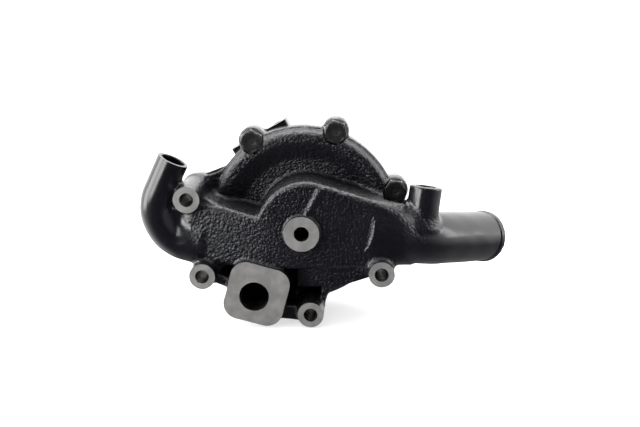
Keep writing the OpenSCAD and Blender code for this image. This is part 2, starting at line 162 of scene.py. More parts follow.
def outline(u, v, points):
    """The distance to a closed outline of straight sides: the least distance to any side, made
    negative inside, where a level line to the right crosses an odd number of sides."""
    best = np.full(u.shape, BIG, np.float32)
    inside = np.zeros(u.shape, bool)
    for (ax, az), (bx, bz) in zip(points, points[1:] + points[:1]):
        ex, ez = bx - ax, bz - az
        s, t = u - ax, v - az
        part = np.clip((s * ex + t * ez) / (ex * ex + ez * ez), 0, 1)
        best = np.minimum(best, (s - ex * part) ** 2 + (t - ez * part) ** 2)
        if az != bz:
            inside ^= ((az > v) != (bz > v)) & (s < ex * t / ez)
    return np.sqrt(best) * np.where(inside, -1, 1)


def bend(p, centre, across, up, radius, tube, sweep):
    """A round tube bent about a centre: it starts at centre + across * radius and turns towards
    up through the sweep, in degrees, and is cut off square at both ends."""
    rel = p - np.asarray(centre, np.float32)
    across = np.asarray(across, np.float32)
    up = np.asarray(up, np.float32)
    u, v, w = rel @ across, rel @ up, rel @ np.cross(across, up)
    half = np.radians(sweep) / 2
    off = np.arctan2(v, u) - half
    off = np.abs((off + np.pi) % (2 * np.pi) - np.pi) - half
    ring = np.hypot(np.hypot(u, v) - radius, w) - tube
    return np.maximum(ring, off * np.minimum(np.hypot(u, v), radius))


joint_y, gasket_y = node_box("cover_gasket")[0][1], node_box("cover_gasket")[1][1]
flange_y = joint_y - 6
boss_r = 10.5
hole_r = size_of("mount_hole_right")
boss_ul = mount_flat("mount_hole_upper_left")
boss_ll = mount_flat("mount_hole_lower_left")
boss_rt = mount_flat("mount_hole_right")
boss_bt = mount_flat("mount_hole_bottom")
all_bosses = (boss_ul, boss_ll, boss_rt, boss_bt)
port = mount_flat("discharge_port")
port_flange = port + (1.9, 1.9)
port_r = size_of("discharge_port")
centre_r = size_of("centre_hole")
centre_deep = size_of("centre_hole", "length_mm")
bolt_circle = 80.0
bolt_start = 71.0
bolt_step = 360 / 7
ear_r = 10.25
bolt_r = 5.0
hole_edge = 0.5
bolt_seat = flange_y - 1.5
dome_at = np.array([3.0, 2.0])
dome_r = 39.0


def ring_point(radius, degrees):
    """The point (x, z) at that radius and angle about the shaft."""
    a = np.radians(degrees)
    return np.array([radius * np.cos(a), radius * np.sin(a)])


body_bolts = [ring_point(bolt_circle, bolt_start + i * bolt_step) for i in (-1, 0, 1)]
cover_side_bolts = [ring_point(bolt_circle, bolt_start + i * bolt_step) for i in (2, 3)]


def scroll(p, high, low):
    """The flat distance to a disc that is smaller between the right boss and just past the
    bottom one, with an easy run from one radius to the other."""
    x, z = p[..., 0], p[..., 2]
    share = np.clip((33.5 - np.abs(np.degrees(np.arctan2(z, x)) + 63.5)) / 9 + 0.5, 0, 1)
    return np.hypot(x, z) - (high + (low - high) * share * share * (3 - 2 * share))


def joint_outline(p):
    """The flat outline that the body's, the gasket's and the cover's flanges share."""
    flat = scroll(p, 79.5, 67.5)
    for at in body_bolts + cover_side_bolts:
        flat = blend_in(flat, away(p, at) - ear_r, 3)
    for at in (boss_ul, boss_rt, boss_bt):
        flat = blend_in(flat, away(p, at) - boss_r, 6)
    return blend_in(flat, strip(p, ring_point(66, 143), boss_ul + (4, 3), 12), 5)


# The suction stub runs level out of the duct, bends back and then runs straight to its bead
stub_axis = mount_axis("suction_inlet")
stub_bore = size_of("suction_inlet")
stub_straight = size_of("suction_inlet", "length_mm")
stub_end = mount_point("suction_inlet") + 0.5 * stub_axis
stub_r = 22.0
stub_bend = 75.0
stub_sweep = 45.0
slope = np.arctan2(-stub_axis[2], stub_axis[0])
stub_level = np.array([np.cos(slope), 0, -np.sin(slope)])
stub_back = np.array([0, 1.0, 0])
stub_start = (stub_end - stub_axis * stub_straight
              - stub_level * stub_bend * np.sin(np.radians(stub_sweep))
              - stub_back * stub_bend * (1 - np.cos(np.radians(stub_sweep))))


def stub_tube(p, radius, run_in, past):
    """The stub's round shape at a given radius, from its run inside the duct to its end."""
    level = cylinder(p, stub_start - stub_level * run_in, stub_level, radius, run_in + 0.5)
    curve = bend(p, stub_start + stub_back * stub_bend, -stub_back, stub_level,
                 stub_bend, radius, stub_sweep)
    out = cylinder(p, stub_end - stub_axis * (stub_straight + 0.5), stub_axis, radius,
                   stub_straight + 0.5 + past)
    return np.minimum(np.minimum(level, curve), out)


# The bypass elbow leaves the duct level, turns up through its bend and ends in a plain mouth
elbow_axis = mount_axis("bypass_outlet")
elbow_bore = size_of("bypass_outlet")
elbow_straight = size_of("bypass_outlet", "length_mm")
elbow_end = mount_point("bypass_outlet") + 0.5 * elbow_axis
elbow_r = 12.7
elbow_bend = 31.8
elbow_out = np.array([elbow_axis[2], 0, -elbow_axis[0]])
elbow_centre = elbow_end - elbow_axis * elbow_straight + elbow_out * elbow_bend
elbow_sweep = 90 + np.degrees(np.arctan2(elbow_axis[0], elbow_axis[2]))


def elbow_tube(p, radius, run_in, past):
    """The elbow's round shape at a given radius, from inside the duct to past its mouth."""
    out = cylinder(p, elbow_end - elbow_axis * (elbow_straight + 0.5), elbow_axis, radius,
                   elbow_straight + 0.5 + past)
    curve = bend(p, elbow_centre, -elbow_out, -elbow_axis, elbow_bend, radius, elbow_sweep)
    foot = elbow_centre - np.array([0, 0, elbow_bend])
    level = cylinder(p, foot - (0.5, 0, 0), (1, 0, 0), radius, run_in)
    return np.minimum(np.minimum(out, curve), level)


duct_outline = [(-89, -23), (-70, -29), (-30, -30), (44, -29.5), (88, -29.5), (93, -12), (92, 10),
                (82, 20.5), (54, 27), (35, 33), (24, 35), (-20, 28), (-35, 12), (-74, 22),
                (-93, 19), (-96, 5), (-100, -12)]
plate_outline = [(-5, -18), (58, -18), (67, -38), (53, -41.5), (38, -46.5), (24, -51), (20, -56),
                 (18, -66), (13, -66), (15.5, -49.5), (-5, -49.5)]
crook_outline = [(-86, -22), (-106, -10), (-115, 4), (-113, 12), tuple(boss_ul), (-78, 6)]
left_core = [(-76, -24), (-10, -24), (-10, 14), (-36, 2), (-70, 12)]
groove_core = [(42, 56), (42, 49.5), (58, 47), (63, 44), (67, 44), (70, 47), (70, 56)]
sender_axis = mount_axis("sender_port")
sender_top = mount_point("sender_port") + 0.5 * sender_axis
sender_r = 13.25
sender_bore = size_of("sender_port")
crease_x = 57.0
front_y = 4.5


def square_flange(p, side, corner, degrees):
    """The flat distance to a turned square with round corners."""
    a = np.radians(degrees)
    u = p[..., 0] - port_flange[0]
    v = p[..., 2] - port_flange[1]
    s = np.abs(u * np.cos(a) + v * np.sin(a)) - side / 2 + corner
    t = np.abs(-u * np.sin(a) + v * np.cos(a)) - side / 2 + corner
    return (np.hypot(np.maximum(s, 0), np.maximum(t, 0))
            + np.minimum(np.maximum(s, t), 0) - corner)


def swell(p, size, height):
    """Slow waves over a cast skin, as a wooden pattern and packed sand leave them: products of
    sines, each one's phase bent by another."""
    x, y, z = p[..., 0] / size, p[..., 1] / size, p[..., 2] / size
    return height * (np.sin(x * 1.7 + 1.3 * np.sin(z * 1.1)) * np.sin(z * 1.9 + y)
                     + 0.6 * np.sin(y * 2.3 + 1.7 * np.sin(x * 0.9 + z)))


def ease(t):
    """A step from 0 to 1 with a level start and end."""
    t = np.clip(t, 0, 1)
    return t * t * (3 - 2 * t)


def body_skin(p):
    """The outside of the casting, before anything is machined or cored out."""
    x, y, z = p[..., 0], p[..., 1], p[..., 2]
    solid = slab(p, joint_outline(p), flange_y, joint_y + BEYOND, 1.2)
    # The volute's front: a flat recess, a long slope and a rounded shoulder round the outside
    reach = scroll(p, 0, -11)
    face = (44 - 7.4 * ease((reach - 52) / 17)) - y
    volute = keep_both(face * 0.85, reach - 77.2, 5.5)
    solid = blend_in(solid, np.maximum(volute, y - joint_y - BEYOND), 2.5)
    # Dome and duct share one front, which turns back past the crease on the right
    dome = keep_both(away(p, dome_at) - dome_r, -29.3 - z, 6)
    duct = blend_in(dome, outline(x, z, duct_outline), 5)
    turn_back = np.maximum(x - crease_x, 0)
    front = front_y + 0.20 * turn_back * turn_back / (turn_back + 4)
    left = np.maximum(-28 - x, 0)
    front = front + 0.12 * left * left / (left + 10)
    rim = 4.6 + 9 * ease((x - 55) / 35) + 3.5 * ease((-60 - x) / 30)
    rib = strip(p, (14.6, 33.7), (5, 16), 2)
    front = front - 1.4 * ease(1 - (rib + 1) / 4.5)
    chest = keep_both(duct, (front - y) * 0.97, rim)
    chest = np.maximum(chest, y - 47)
    chest = blend_in(chest, stub_tube(p, stub_r, 2, 0), 6)
    along = (p - stub_end.astype(np.float32)) @ stub_axis.astype(np.float32)
    bead = np.hypot(np.maximum(np.abs(along + 4.2) - 1.3, 0),
                    stub_tube(p, stub_r - 1.6, 0, 0)) - 2.5
    chest = np.minimum(chest, np.maximum(bead, along))
    chest = blend_in(chest, elbow_tube(p, elbow_r, 2, 0), 10)
    sender = cylinder(p, sender_top - sender_axis * 34, sender_axis, sender_r, 34, 1.6)
    chest = blend_in(chest, sender, 6)
    solid = blend_in(solid, chest, 4)
    for at in body_bolts + cover_side_bolts:
        solid = blend_in(solid, bar(p, at, 41, joint_y + BEYOND, ear_r, 1.5), 3)
    for at, fillet in zip(all_bosses, (5, 4, 5, 3)):
        post = slab(p, away(p, at) - boss_r - 0.014 * y, -BEYOND, joint_y + BEYOND)
        solid = blend_in(solid, post, fillet)
    solid = blend_in(solid, slab(p, outline(x, z, crook_outline), 15, 38, 4), 5)
    solid = blend_in(solid, slab(p, outline(x, z, plate_outline), 17, 48, 2), 2)
    for a, b, width, y0, fillet in (
            (boss_ul, (-72, 17), 10, 13, 3), (boss_ll, (-66, -24), 15, 13, 4),
            (boss_rt, (52, -22), 13, 13, 5), (boss_ll, port, 8, 8, 3),
            (boss_bt + (0, -3), (-24, -67), 12, 8, 3)):
        web = slab(p, strip(p, a, b, width), y0, flange_y + 2, 2)
        solid = blend_in(solid, web, fillet)
    solid = blend_in(solid, bar(p, port, 1, flange_y + 2, 17.5), 5)
    plate = slab(p, square_flange(p, 48.8, 13, -15), -BEYOND, 9, 1.6)
    solid = blend_in(solid, plate, 3)
    solid = blend_in(solid, bar(p, (0, 0), -BEYOND, 10, 14.25), 2)
    # Nothing stands past the joint's plane but the stub, which passes outside the flange
    outside = (x > 91) | ((x > 60) & (np.abs(z + 10) < 27))
    past = np.where(outside, np.minimum(y - joint_y, 83 - np.hypot(x, z)), y - joint_y)
    return np.maximum(solid + swell(p, 9, 0.08), past)


def body_cores(p):
    """The water passages, as the sand cores leave them."""
    x, y, z = p[..., 0], p[..., 1], p[..., 2]
    chamber = slab(p, keep_both(away(p, dome_at) - dome_r + 5, -25 - z, 4), 9, 42, 4)
    chamber = blend_in(chamber, slab(p, outline(x, z, left_core), 14, 40, 4), 4)
    chamber = cut_from(chamber, bar(p, (0, 0), 4, 26, 12, 2), 2)
    chamber = blend_in(chamber, stub_tube(p, stub_bore, 45, 3), 3)
    chamber = blend_in(chamber, elbow_tube(p, elbow_bore, 14, 3), 2)
    chamber = blend_in(chamber, bar(p, (0, 0), 38, joint_y + BEYOND, 27), 2)
    groove = np.maximum(outline(np.hypot(x, z), y, groove_core), scroll(p, 70, 60.5))
    passage = blend_in(groove, bar(p, port, -BEYOND, 47, port_r), 1)
    chamber = np.minimum(chamber, passage)
    return np.minimum(chamber, cylinder(p, sender_top - sender_axis * 34, sender_axis,
                                        sender_bore, 38))


def body_field(p):
    """The finished casting: the cast skin, less its cores, cut by machined planes and holes."""
    y = p[..., 1]
    solid = cut_from(body_skin(p), body_cores(p), 0.6)
    solid = drill(solid, p, body_bolts, 20, bolt_seat, ear_r)
    solid = drill(solid, p, body_bolts, 40, joint_y + BEYOND, hole_r)
    solid = drill(solid, p, cover_side_bolts, 41.5, joint_y + BEYOND, bolt_r)
    solid = drill(solid, p, all_bosses, -BEYOND, joint_y + BEYOND, hole_r, hole_edge)
    solid = drill(solid, p, [(0, 0)], -BEYOND, centre_deep, centre_r, hole_edge)
    return np.maximum(solid, -y)


def slope_of(field, p, step=0.04):
    """The outward direction at each point, from the field's differences along x, y and z."""
    grad = np.empty_like(p)
    for axis in range(3):
        shift = np.zeros(3, np.float32)
        shift[axis] = step
        grad[:, axis] = field(p + shift) - field(p - shift)
    return grad / (np.linalg.norm(grad, axis=1, keepdims=True) + 1e-9)


def sampled(field, low, counts, cell):
    """The field's value at every point of a grid, one layer at a time."""
    axes = [(low[i] + cell * np.arange(counts[i])).astype(np.float32) for i in range(3)]
    values = np.empty(tuple(counts), np.float32)
    layer = np.empty((counts[1], counts[2], 3), np.float32)
    layer[..., 1] = axes[1][:, None]
    layer[..., 2] = axes[2][None, :]
    for i, x in enumerate(axes[0]):
        layer[..., 0] = x
        values[i] = field(layer)
    return values


def crossings(field, values, low, cell, axis):
    """Where the surface cuts the grid's lines along one axis: the lines' first points, the
    surface points (found by regula falsi), and which of them leave the solid."""
    start, stop = [slice(None)] * 3, [slice(None)] * 3
    start[axis], stop[axis] = slice(0, -1), slice(1, None)
    inside = values < 0
    at = np.argwhere(inside[tuple(start)] != inside[tuple(stop)])
    end = at.copy()
    end[:, axis] += 1
    fa, fb = values[tuple(at.T)].astype(float), values[tuple(end.T)].astype(float)
    leaves = fa < 0
    ta, tb = np.zeros(len(at)), np.ones(len(at))
    t = fa / (fa - fb)
    point = low + cell * at.astype(float)
    line = point[:, axis].copy()
    for _ in range(3):
        point[:, axis] = line + t * cell
        f = field(point.astype(np.float32)).astype(float)
        near = (f < 0) == leaves
        ta, fa = np.where(near, t, ta), np.where(near, f, fa)
        tb, fb = np.where(near, tb, t), np.where(near, fb, f)
        t = np.clip(ta + (tb - ta) * fa / (fa - fb + 1e-12), ta, tb)
    point[:, axis] = line + t * cell
    return at, point, leaves


def skin_of(field, low, high, cell):
    """The surface where a field is zero, as four-sided faces. Each grid cell that the surface
    crosses gets one point, placed where the tangent planes at its crossings meet, so that flat
    faces stay flat and machined edges stay crisp."""
    counts = np.ceil((high - low) / cell).astype(int) + 1
    values = sampled(field, low, counts, cell)
    strides = np.array([counts[1] * counts[2], counts[2], 1])
    found = []
    for axis in range(3):
        at, point, leaves = crossings(field, values, low, cell, axis)
        u, v = (axis + 1) % 3, (axis + 2) % 3
        corner = np.repeat(at[:, None, :], 4, 1)
        corner[:, [1, 2], u] -= 1
        corner[:, [2, 3], v] -= 1
        corner = corner @ strides
        corner[~leaves] = corner[~leaves][:, ::-1]
        normal = slope_of(field, point.astype(np.float32)).astype(float)
        found.append((corner, point, normal))
    cells, where = np.unique(np.concatenate([f[0].ravel() for f in found]), return_inverse=True)
    where = where.ravel()
    point = np.concatenate([np.repeat(f[1], 4, 0) for f in found])
    normal = np.concatenate([np.repeat(f[2], 4, 0) for f in found])
    n = len(cells)
    hits = np.bincount(where, minlength=n)[:, None]
    middle = np.stack([np.bincount(where, point[:, i], n) for i in range(3)], 1) / hits
    reach = (normal * (point - middle[where])).sum(1)
    square = np.empty((n, 3, 3))
    for i in range(3):
        for j in range(3):
            square[:, i, j] = np.bincount(where, normal[:, i] * normal[:, j], n)
    pull = np.stack([np.bincount(where, normal[:, i] * reach, n) for i in range(3)], 1)
    square += np.eye(3) * 0.04 * hits[:, :, None]
    shift = np.linalg.solve(square, pull[..., None])[..., 0]
    corner = np.stack([cells // strides[0], cells // strides[1] % counts[1], cells % counts[2]], 1)
    lowest = low + cell * corner
    return np.clip(middle + shift, lowest - 0.1 * cell, lowest + 1.1 * cell), where.reshape(-1, 4)


def read(items, key, width, kind=np.float32):
    """One property of every item of a mesh, as an array."""
    out = np.empty(len(items) * width, kind)
    items.foreach_get(key, out)
    return out.reshape(-1, width) if width > 1 else out


def store(mesh, name, values):
    """Stores a value at each of a mesh's points."""
    layer = mesh.attributes.new(name, "FLOAT", "POINT")
    layer.data.foreach_set("value", np.array(values, np.float32))


def mark_edges(mesh):
    """Stores at each point how far it stands out of its neighbours, from 0 in a hollow through a
    half on the flat to 1 on a sharp edge: the mean cosine between its normal and the directions
    from its neighbours to it, averaged over the neighbours twice. Also how far it faces up."""
    co = read(mesh.vertices, "co", 3)
    normal = read(mesh.vertices, "normal", 3)
    pair = read(mesh.edges, "vertices", 2, np.int32)
    n = len(co)
    step = co[pair[:, 0]] - co[pair[:, 1]]
    step /= np.linalg.norm(step, axis=1, keepdims=True) + 1e-12
    out = np.concatenate([(normal[pair[:, 0]] * step).sum(1), -(normal[pair[:, 1]] * step).sum(1)])
    here, there = np.concatenate([pair[:, 0], pair[:, 1]]), np.concatenate([pair[:, 1], pair[:, 0]])
    hits = np.maximum(np.bincount(here, minlength=n), 1)
    value = np.bincount(here, out, n) / hits
    for _ in range(2):
        value = 0.5 * value + 0.5 * np.bincount(here, value[there], n) / hits
    store(mesh, "edge", np.clip(0.5 + 1.6 * value, 0, 1))
    store(mesh, "up", normal[:, 2])


def new_piece(name, verts_mm, faces, body, replaced):
    """A mesh object from points in millimetres and faces, riding on its body."""
    mesh = bpy.data.meshes.new(name)
    mesh.from_pydata((np.asarray(verts_mm) * MM).tolist(), [], faces)
    mesh.update()
    piece = bpy.data.objects.new(name, mesh)
    bpy.context.scene.collection.objects.link(piece)
    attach(piece, body)
    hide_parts(*replaced)
    return piece


def settle(piece):
    """Applies a piece's modifiers, so that its mesh is the finished one."""
    graph = bpy.context.evaluated_depsgraph_get()
    done = bpy.data.meshes.new_from_object(piece.evaluated_get(graph))
    piece.modifiers.clear()
    old, piece.data = piece.data, done
    bpy.data.meshes.remove(old)
    done.name = piece.name


def field_piece(name, field, box, cell, body, replaced):
    """A piece from its field. Each face corner takes its shading direction from the field a
    little inside the face, so that fillets shade smoothly and machined edges stay sharp. The whole
    pump's box, drawn in a hair in x and z, cuts off what the cast swell would push past it."""
    low, high = (np.array(c, np.float32) / MM for c in cad_box)
    middle, reach = (low + high) / 2, (high - low) / 2 - np.array([0.05, 0, 0.05], np.float32)
    most, spare = 190000, 5000  # triangles
    inward = 0.28  # how far towards its face's middle a corner is read

    def trimmed(p):
        return np.maximum(field(p), (np.abs(p - middle) - reach).max(-1))

    verts, faces = skin_of(trimmed, box[0] - 2.3 * cell, box[1] + 2.3 * cell, cell)
    piece = new_piece(name, verts, faces.tolist(), body, replaced)
    if len(faces) * 2 > most:
        slim = piece.modifiers.new("slim", "DECIMATE")
        slim.ratio = (most - spare) / (len(faces) * 2)
        settle(piece)
    mesh = piece.data
    co = read(mesh.vertices, "co", 3) / MM
    centre = read(mesh.polygons, "center", 3) / MM
    sizes = read(mesh.polygons, "loop_total", 1, np.int32)
    probe = co[read(mesh.loops, "vertex_index", 1, np.int32)] * (1 - inward)
    probe += np.repeat(centre, sizes, 0) * inward
    normal = np.concatenate([slope_of(trimmed, part) for part in np.array_split(probe, 12)])
    mark_edges(mesh)
    mesh.shade_smooth()
    mesh.normals_split_custom_set(normal.tolist())
    return piece


cell = 1.25
body = field_piece("body_casting", body_field, node_box("pump_body"), cell, "housing",
                   ["pump_body"])

# Smooth where the tubes were cast round drawn patterns, grained everywhere else
co = read(body.data.vertices, "co", 3) / MM
tubes = np.minimum(stub_tube(co, stub_r, 0, 0), elbow_tube(co, elbow_r, 0, 0))
tubes = np.minimum(tubes, cylinder(co, sender_top - sender_axis * 20, sender_axis, sender_r, 20))
grained = ease((tubes - 0.5) / 4) * ease((co[:, 0] + 98) / 20)
run_out = 0.8 * ease((112 - co[:, 0]) / 28) * ease((20 - co[:, 2]) / 6) * (co[:, 0] > 0)
grained = np.maximum(grained, run_out)
dome_front = ease((co[:, 0] + 32) / 24) * ease((13 - co[:, 1]) / 6)
grained *= 1 - 0.22 * dome_front
store(body.data, "grain", grained)


def put(tree, kind, wires=None, values=None, **settings):
    """A shader node with its settings, its constant inputs and the outputs wired into it."""
    node = tree.nodes.new("ShaderNode" + kind)
    for key, value in settings.items():
        setattr(node, key, value)
    for key, value in (values or {}).items():
        node.inputs[key].default_value = value
    for key, output in (wires or {}).items():
        tree.links.new(output, node.inputs[key])
    return node


def noise(tree, where, scale, detail, **more):
    """A noise texture's value over a position."""
    node = put(tree, "TexNoise", {"Vector": where}, {"Scale": scale, "Detail": detail, **more})
    return node.outputs["Fac"]


def sums(tree, operation, a, b=0.0):
    """One step of arithmetic on two values, each a number or another node's output."""
    node = put(tree, "Math", operation=operation)
    for i, value in enumerate((a, b)):
        if isinstance(value, (int, float)):
            node.inputs[i].default_value = value
        else:
            tree.links.new(value, node.inputs[i])
    return node.outputs[0]


def times(tree, a, b):
    """Two values multiplied."""
    return sums(tree, "MULTIPLY", a, b)


def spread(tree, value, low, high, to_low=0.0, to_high=1.0):
    """A value carried from one range to another with an easy start and end."""
    node = put(tree, "MapRange", {"Value": value}, {"From Min": low, "From Max": high,
               "To Min": to_low, "To Max": to_high}, interpolation_type="SMOOTHSTEP")
    return node.outputs[0]


def mixed(tree, share, a, b):
    """Two colours mixed by a share: each a colour or another node's output."""
    node = put(tree, "Mix", {"Factor": share}, data_type="RGBA")
    for i, value in ((6, a), (7, b)):
        if isinstance(value, tuple):
            node.inputs[i].default_value = (*value, 1)
        else:
            tree.links.new(value, node.inputs[i])
    return node.outputs[2]


def new_group(name, inputs, outputs):
    """A node group with named sockets: F for a value, V for a vector."""
    kinds = {"F": "NodeSocketFloat", "V": "NodeSocketVector"}
    group = bpy.data.node_groups.new(name, "ShaderNodeTree")
    for side, sockets in (("INPUT", inputs), ("OUTPUT", outputs)):
        for label, kind in sockets.items():
            group.interface.new_socket(label, in_out=side, socket_type=kinds[kind])
    return group, group.nodes.new("NodeGroupInput"), group.nodes.new("NodeGroupOutput")


# Cast grain: pebbles from smooth Voronoi cells with fine noise over them
cast_grain, group_in, group_out = new_group("cast_grain", {"Vector": "V", "Density": "F"},
                                            {"Height": "F", "Fine": "F"})
wobble = put(cast_grain, "TexNoise", {"Vector": group_in.outputs["Vector"],
             "Scale": times(cast_grain, group_in.outputs["Density"], 0.6)},
             {"Detail": 2.0})
moved = put(cast_grain, "VectorMath", {0: group_in.outputs["Vector"]}, operation="ADD")
push = put(cast_grain, "VectorMath", {0: wobble.outputs["Color"]}, operation="SCALE")
push.inputs["Scale"].default_value = 0.0022
cast_grain.links.new(push.outputs[0], moved.inputs[1])
pebble = put(cast_grain, "TexVoronoi", {"Vector": moved.outputs[0],
             "Scale": group_in.outputs["Density"]}, {"Smoothness": 0.8}, feature="SMOOTH_F1")
fine = put(cast_grain, "TexNoise", {"Vector": group_in.outputs["Vector"],
           "Scale": times(cast_grain, group_in.outputs["Density"], 2.6)},
           {"Detail": 4.0, "Roughness": 0.6})
low_part = times(cast_grain, pebble.outputs["Distance"], -0.9)
height = sums(cast_grain, "ADD", low_part, times(cast_grain, fine.outputs["Fac"], 0.5))
cast_grain.links.new(height, group_out.inputs["Height"])
cast_grain.links.new(fine.outputs["Fac"], group_out.inputs["Fine"])

# Edge wear: the standing edges, broken up by noise. On the bolts this mask is also a painted
# highlight along the hexagon's corners.
edge_wear_and_glint, group_in, group_out = new_group("edge_wear_and_glint", {"Vector": "V", "Edge": "F", "Amount": "F"},
                                           {"Mask": "F"})
ragged = noise(edge_wear_and_glint, group_in.outputs["Vector"], 240.0, 5.0, Roughness=0.65)
score = sums(edge_wear_and_glint, "ADD", group_in.outputs["Edge"], times(edge_wear_and_glint, ragged, 0.5))
score = sums(edge_wear_and_glint, "ADD", score, group_in.outputs["Amount"])
edge_wear_and_glint.links.new(spread(edge_wear_and_glint, score, 1.15, 1.35), group_out.inputs["Mask"])

# Dust: a thin film on what faces up, thicker in the hollows
dust_film, group_in, group_out = new_group("dust_film", {"Vector": "V", "Edge": "F", "Up": "F"},
                                           {"Mask": "F"})
patch = noise(dust_film, group_in.outputs["Vector"], 55.0, 6.0, Roughness=0.7)
level = times(dust_film, spread(dust_film, group_in.outputs["Up"], 0.2, 1.0), 0.5)
hollow = spread(dust_film, group_in.outputs["Edge"], 0.45, 0.25, 0, 0.5)
level = sums(dust_film, "ADD", level, hollow)
dust_film.links.new(times(dust_film, level, patch), group_out.inputs["Mask"])


def material(name):
    """A node material: its tree, its shader and the piece's own coordinates."""
    made = bpy.data.materials.new(name)
    made.use_nodes = True
    tree = made.node_tree
    return made, tree, tree.nodes["Principled BSDF"], put(tree, "TexCoord").outputs["Object"]


def stored(tree, name):
    """A value stored at the mesh's points."""
    return put(tree, "Attribute", attribute_name=name).outputs["Fac"]


def used(tree, group, wires, values=None):
    """A node that uses a group."""
    return put(tree, "Group", wires, values, node_tree=group)


def raised(tree, height, distance):
    """A shading normal from a height, with its full depth in metres."""
    node = put(tree, "Bump", {"Height": height}, {"Distance": distance, "Strength": 1.0})
    return node.outputs["Normal"]


def wire_up(tree, shader, tone, normal, rough, metal=0.0):
    """Wires a colour, a relief and a gloss into a shader, and sets how metallic it is."""
    for key, output in (("Base Color", tone), ("Normal", normal), ("Roughness", rough)):
        tree.links.new(output, shader.inputs[key])
    shader.inputs["Metallic"].default_value = metal


def wear_glint_and_dust(tree, where, amount):
    """A piece's masks of worn edges, which on the bolts are also a painted highlight, and of dust.
    """
    edge = stored(tree, "edge")
    wear_and_glint = used(tree, edge_wear_and_glint, {"Vector": where, "Edge": edge}, {"Amount": amount})
    dust = used(tree, dust_film, {"Vector": where, "Edge": edge, "Up": stored(tree, "up")})
    return wear_and_glint.outputs["Mask"], dust.outputs["Mask"]


def enamel():
    """Black enamel over cast iron: grain where it is cast rough, runs of slightly different gloss,
    a little bare iron on the sharpest edges and a thin dust film."""
    made, tree, shader, where = material("black_enamel")
    grain = used(tree, cast_grain, {"Vector": where}, {"Density": 450.0})
    wear_and_glint, dust = wear_glint_and_dust(tree, where, 0.0)
    cloud = noise(tree, where, 34.0, 4.0)
    tone = mixed(tree, cloud, (0.002, 0.002, 0.003), (0.006, 0.006, 0.009))
    tone = mixed(tree, times(tree, dust, 0.05), tone, (0.20, 0.19, 0.18))
    tone = mixed(tree, wear_and_glint, tone, (0.07, 0.065, 0.06))
    height = times(tree, grain.outputs["Height"], stored(tree, "grain"))
    rough = sums(tree, "ADD", times(tree, grain.outputs["Fine"], 0.12), 0.15)
    rough = sums(tree, "ADD", rough, times(tree, dust, 0.25))
    wire_up(tree, shader, tone, raised(tree, height, 0.0008), rough)
    shader.inputs["Specular IOR Level"].default_value = 0.5
    return made


def milled_iron():
    """Bare iron from a face mill: shallow curved tool marks, graphite specks, a few dull stains."""
    made, tree, shader, where = material("milled_iron")
    marks = put(tree, "TexWave", {"Vector": where}, {"Scale": 260.0, "Distortion": 1.6,
                "Detail": 3.0, "Detail Scale": 0.6, "Detail Roughness": 0.7}, wave_type="RINGS",
                rings_direction="Y")
    specks = noise(tree, where, 1500.0, 3.0)
    stain = noise(tree, where, 90.0, 5.0)
    tone = mixed(tree, spread(tree, stain, 0.35, 0.7), (0.17, 0.167, 0.163), (0.25, 0.245, 0.24))
    tone = mixed(tree, spread(tree, specks, 0.60, 0.72), tone, (0.10, 0.10, 0.10))
    height = sums(tree, "ADD", times(tree, marks.outputs["Fac"], 0.5), specks)
    wire_up(tree, shader, tone, raised(tree, height, 0.00003),
            spread(tree, stain, 0.3, 0.7, 0.50, 0.36), 0.4)
    return made


def drilled_iron():
    """The wall of a drilled hole: bare iron with fine rings round the drill's axis, its near-black
    tone a painted shade for the inside of the hole.
    """
    made, tree, shader, where = material("drilled_iron")
    rings = put(tree, "TexWave", {"Vector": where}, {"Scale": 900.0, "Distortion": 0.8,
                "Detail": 2.0}, bands_direction="Y")
    hole_shade_cloud = noise(tree, where, 160.0, 4.0)
    # Painted shade: both tones are far darker than bare iron, standing in for the shade down the
    # hole
    tone = mixed(tree, hole_shade_cloud, (0.010, 0.010, 0.009), (0.035, 0.033, 0.031))
    wire_up(tree, shader, tone, raised(tree, rings.outputs["Fac"], 0.00004),
            spread(tree, hole_shade_cloud, 0.3, 0.7, 0.40, 0.62), 0.7)
    return made


black_enamel = enamel()
milled = milled_iron()
drilled = drilled_iron()


NEAR = 0.15  # how far off a machined plane the middle of a face on it may lie, in millimetres
SQUARE_ON = 0.97  # the least cosine between that face's normal and the plane's


def hole_faces(centre, normal, holes, radius):
    """Which faces lie on the wall of a hole along the shaft's direction."""
    out = np.zeros(len(centre), bool)
    for at in holes:
        out |= np.abs(away(centre, at) - radius) < 0.35
    return out & (np.abs(normal[:, 1]) < 0.3)


def seat_faces(centre, normal, places, y, way):
    """Which faces lie on the spot face round a bolt: level with it, no further from the bolt's
    axis than the ear, and facing its way along y."""
    out = np.zeros(len(centre), bool)
    for at in places:
        out |= (away(centre, at) < ear_r + 0.3) & (np.abs(centre[:, 1] - y) < 0.2)
    return out & (normal[:, 1] * way > SQUARE_ON)


def finish_faces(piece, materials, masks):
    """Gives a piece its materials, the first one everywhere and each next one where its mask is."""
    index = np.zeros(len(piece.data.polygons), np.int32)
    for i, mask in enumerate(masks):
        index[mask] = i + 1
    for one in materials:
        piece.data.materials.append(one)
    piece.data.polygons.foreach_set("material_index", index)


